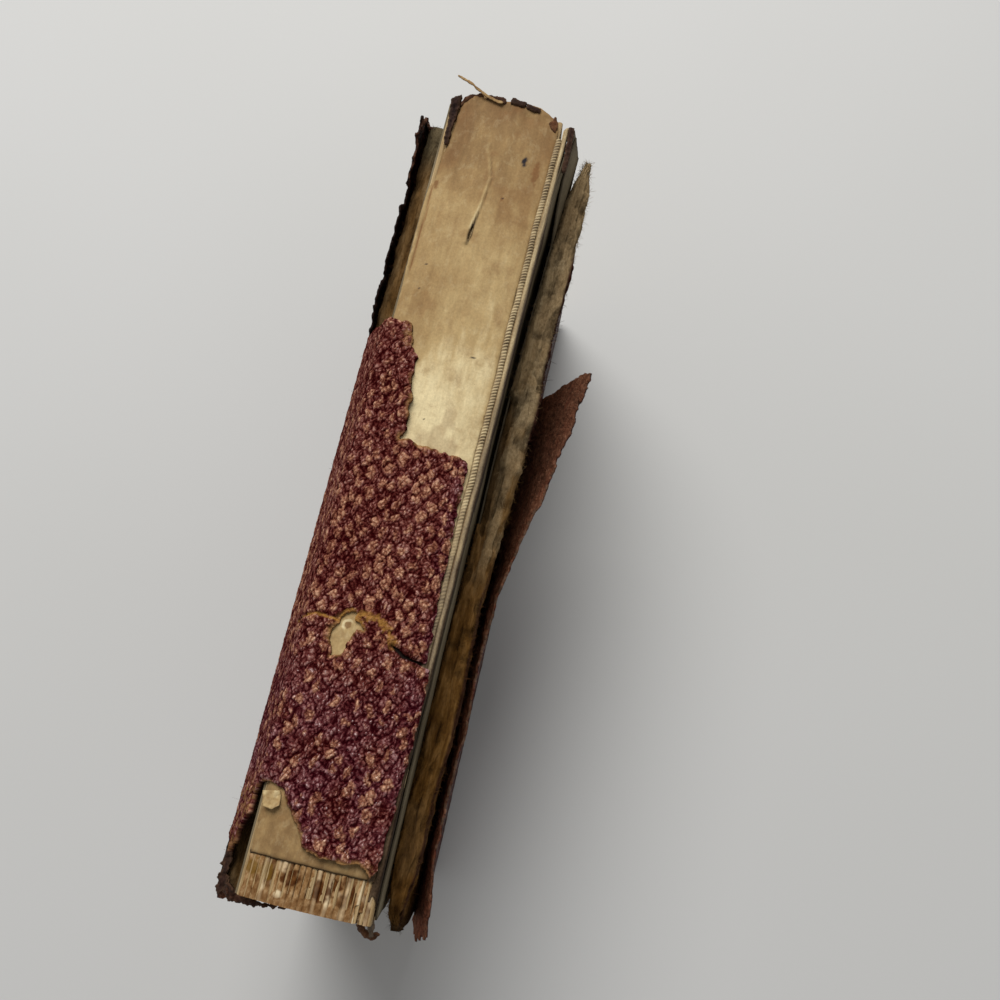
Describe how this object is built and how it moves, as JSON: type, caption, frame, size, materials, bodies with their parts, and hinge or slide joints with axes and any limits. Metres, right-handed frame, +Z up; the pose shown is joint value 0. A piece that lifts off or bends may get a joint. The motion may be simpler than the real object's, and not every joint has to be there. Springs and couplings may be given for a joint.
{
  "type": "antique hardback book",
  "caption": "Old leather-bound book standing on its fore edge, its torn spine showing lining and sewn folds, with hinged covers and peeled leather on the front board.",
  "frame": {"origin": "middle of the leaves' fore edge, on the surface that the book stands on", "axes": "+Z up to the spine, +Y from tail to head, +X towards the front cover"},
  "size_m": [0.0425, 0.1532, 0.0966],
  "materials": {
    "leaves": "aged, matt",
    "cord": "twisted hemp",
    "lining_paper": "stained, matt",
    "cloth": "woven, corded edge",
    "leather": "pebble grain, worn",
    "scrap_leather": "dry, torn",
    "endpaper": "grey, aged",
    "board": "fibrous pulp"
  },
  "bodies": {
    "leaves": {"text_block": "leaves", "sewing_cords": "cord", "spine_lining": "lining_paper", "joint_cloth": "cloth", "spine_leather": "leather", "front_flyleaf": "endpaper", "back_flyleaf": "endpaper", "headcap_remnant": "scrap_leather", "shoulder_scraps": "scrap_leather", "torn_sliver": "lining_paper", "lining_chip": "endpaper"},
    "front_cover": {"front_board": "board", "front_leather": "leather", "front_pastedown": "endpaper"},
    "back_cover": {"back_board": "board", "back_leather": "leather", "back_pastedown": "endpaper"}
  },
  "joints": [
    {"name": "front_cover_hinge", "type": "hinge", "parent": "leaves", "child": "front_cover", "pos_m": [0.01195, 0, 0.094], "axis": [0, -1, 0], "range_deg": [0, 170]},
    {"name": "back_cover_hinge", "type": "hinge", "parent": "leaves", "child": "back_cover", "pos_m": [-0.0114, 0, 0.0953], "axis": [0, 1, 0], "range_deg": [0, 170]}
  ]
}
